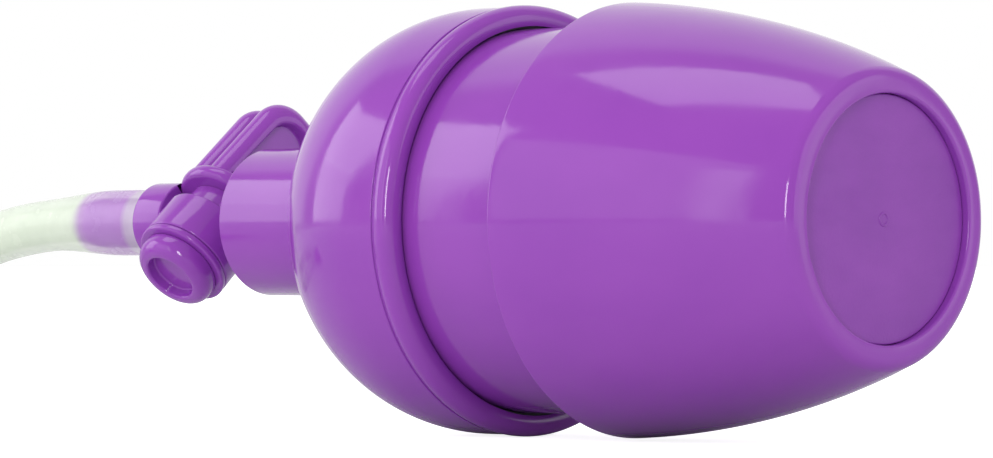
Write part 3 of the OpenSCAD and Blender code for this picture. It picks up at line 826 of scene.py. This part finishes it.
def make_spring(material):
    """The return spring, an even helix, built at one fixed length; the real one shortens as the grip
    slides in.
    """
    low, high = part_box("return_spring")
    first, last = low.x + WIRE_R, high.x - WIRE_R
    path = []
    for i in range(SPRING_TURNS * SPRING_STEPS + 1):
        share = i / (SPRING_TURNS * SPRING_STEPS)
        t = 2 * math.pi * SPRING_TURNS * share
        x = first + (last - first) * share
        path.append(Vector((x, SPRING_R * math.cos(t), AXIS_Z + SPRING_R * math.sin(t))))
    bm = bmesh.new()
    skin(bm, tube_loops(path, lambda far: WIRE_R, 14, Vector((1, 0, 0))), False)
    spring = piece("coil_spring", finished("coil_spring", bm, 50), material, "bell", "steel",
                   "return_spring")
    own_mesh(spring)


def finish_inner_nodes(materials):
    """Gives each CAD node that still shows its own material."""
    wanted = {
        "steel": ["rod_screw", "piston_screw", "spring_washer", "head_screws", "lock_nut"],
        "white_plastic": ["piston_rod", "piston_head", "pump_barrel", "barrel_cap", "head_plate",
                          "valve_plug"],
        "black_rubber": ["piston_seal", "wiper_ring", "head_gasket", "intake_flap",
                         "exhaust_flap", "neck_seal", "plug_seals"],
        "hose_clear": ["intake_tube"],
    }
    for slot, names in wanted.items():
        for name in names:
            node = frame["nodes"][name]
            node.data.materials.clear()
            node.data.materials.append(materials[slot])


# ---- Floor, light and colour management ----


FLOOR_R = 6.0
FLOOR_PALE = (0.8, 0.8, 0.8, 1)
FLOOR_GLOW = 0.85
FLOOR_GREY = (0.75, 0.75, 0.76, 1)


def make_floor():
    """A wide pale floor. What the camera sees of it is lit to paper white; what the pump's gloss
    sees of it is a softer grey."""
    bm = bmesh.new()
    bmesh.ops.create_circle(bm, cap_ends=True, segments=96, radius=FLOOR_R)
    mesh = bpy.data.meshes.new("floor")
    bm.to_mesh(mesh)
    bm.free()
    floor = bpy.data.objects.new("floor", mesh)
    bpy.context.scene.collection.objects.link(floor)
    material = bpy.data.materials.new("floor")
    material.use_nodes = True
    tree = material.node_tree
    tree.nodes.clear()
    output = tree.nodes.new("ShaderNodeOutputMaterial")
    seen = tree.nodes.new("ShaderNodeAddShader")
    pale = tree.nodes.new("ShaderNodeBsdfDiffuse")
    pale.inputs["Color"].default_value = FLOOR_PALE
    glow = tree.nodes.new("ShaderNodeEmission")
    glow.inputs["Strength"].default_value = FLOOR_GLOW
    grey = tree.nodes.new("ShaderNodeBsdfDiffuse")
    grey.inputs["Color"].default_value = FLOOR_GREY
    mix = tree.nodes.new("ShaderNodeMixShader")
    path = tree.nodes.new("ShaderNodeLightPath")
    tree.links.new(pale.outputs[0], seen.inputs[0])
    tree.links.new(glow.outputs[0], seen.inputs[1])
    tree.links.new(path.outputs["Is Camera Ray"], mix.inputs[0])
    tree.links.new(grey.outputs[0], mix.inputs[1])
    tree.links.new(seen.outputs[0], mix.inputs[2])
    tree.links.new(mix.outputs[0], output.inputs["Surface"])
    mesh.materials.append(material)


def towards(azimuth, elevation):
    """A direction. Azimuth 0 is -Y and 90 is +X."""
    a, e = math.radians(azimuth), math.radians(elevation)
    return Vector((math.sin(a) * math.cos(e), -math.cos(a) * math.cos(e), math.sin(e)))


BACKDROP_TOWARDS = (-138, 14)
BACKDROP_EDGE = (0.56, 0.70)
STUDIO_GLOSS = 0.45
STUDIO_DIFFUSE = 0.75


def make_world():
    """White surroundings for the camera. In the gloss, a white backdrop at the back left and a
    dim studio elsewhere."""
    world = bpy.data.worlds.new("studio")
    bpy.context.scene.world = world
    world.use_nodes = True
    tree = world.node_tree
    tree.nodes.clear()
    output = tree.nodes.new("ShaderNodeOutputWorld")
    background = tree.nodes.new("ShaderNodeBackground")
    background.inputs["Color"].default_value = (1, 1, 1, 1)
    where = tree.nodes.new("ShaderNodeTexCoord")
    dot = tree.nodes.new("ShaderNodeVectorMath")
    dot.operation = "DOT_PRODUCT"
    dot.inputs[1].default_value = towards(*BACKDROP_TOWARDS)
    tree.links.new(where.outputs["Generated"], dot.inputs[0])
    edge = tree.nodes.new("ShaderNodeMapRange")
    edge.interpolation_type = "SMOOTHSTEP"
    edge.inputs["From Min"].default_value = BACKDROP_EDGE[0]
    edge.inputs["From Max"].default_value = BACKDROP_EDGE[1]
    edge.inputs["To Min"].default_value = STUDIO_GLOSS
    edge.inputs["To Max"].default_value = 1.0
    tree.links.new(dot.outputs["Value"], edge.inputs["Value"])
    path = tree.nodes.new("ShaderNodeLightPath")
    seen = tree.nodes.new("ShaderNodeMix")
    seen.inputs["B"].default_value = 1.0
    tree.links.new(path.outputs["Is Camera Ray"], seen.inputs["Factor"])
    soft = tree.nodes.new("ShaderNodeMix")
    soft.inputs["B"].default_value = STUDIO_DIFFUSE
    tree.links.new(path.outputs["Is Diffuse Ray"], soft.inputs["Factor"])
    tree.links.new(edge.outputs["Result"], soft.inputs["A"])
    tree.links.new(soft.outputs["Result"], seen.inputs["A"])
    tree.links.new(seen.outputs["Result"], background.inputs["Strength"])
    tree.links.new(background.outputs[0], output.inputs["Surface"])


def softbox(name, azimuth, elevation, distance, width, height, radiance):
    """A rectangular light that faces the pump, with the same brightness whatever its size."""
    data = bpy.data.lights.new(name, "AREA")
    data.shape = "RECTANGLE"
    data.size, data.size_y = width, height
    data.energy = radiance * math.pi * width * height
    light = bpy.data.objects.new(name, data)
    direction = towards(azimuth, elevation)
    light.location = AXIS + direction * distance
    light.rotation_euler = direction.to_track_quat("Z", "Y").to_euler()
    light.visible_camera = False
    bpy.context.scene.collection.objects.link(light)


def make_lights():
    """Name, azimuth, elevation, distance, width, height and brightness of each."""
    softbox("left_box_upper", -60, 28.5, 0.9, 0.45, 0.31, 2.55)
    softbox("left_box_lower", -60, 9.5, 0.9, 0.45, 0.30, 2.2)
    softbox("front_fill", -20, 17.5, 1.2, 0.85, 0.74, 0.8)
    softbox("window", -1.5, 13, 1.1, 0.14, 0.62, 1.1)
    softbox("top_box", -50, 73.5, 1.0, 0.38, 0.52, 2.1)
    softbox("strip", 27, 12, 0.8, 0.12, 0.30, 13)
    softbox("right_fill", 112, 12, 1.2, 1.2, 0.9, 1.0)


# ---- Everything in order ----

make_camera()
gloss = gloss_purple()
hose_material = milky_hose()
strap = soft_rubber("strap", (0.72, 0.73, 0.71), (0.62, 0.63, 0.61), 0.5)
steel = metal()
make_hose(hose_material, make_connector(gloss), make_tie(strap))
make_grip(gloss, satin_purple())
make_bell(gloss)
make_valve_body(gloss)
make_cap(gloss)
make_key(gloss)
make_spring(steel)
finish_inner_nodes({
    "steel": steel,
    "white_plastic": white_plastic(),
    "black_rubber": soft_rubber("black_rubber", (0.03, 0.026, 0.034), (0.06, 0.055, 0.065), 0.55),
    "hose_clear": hose_material,
})
make_floor()
make_world()
make_lights()
bpy.context.scene.view_settings.view_transform = "Standard"
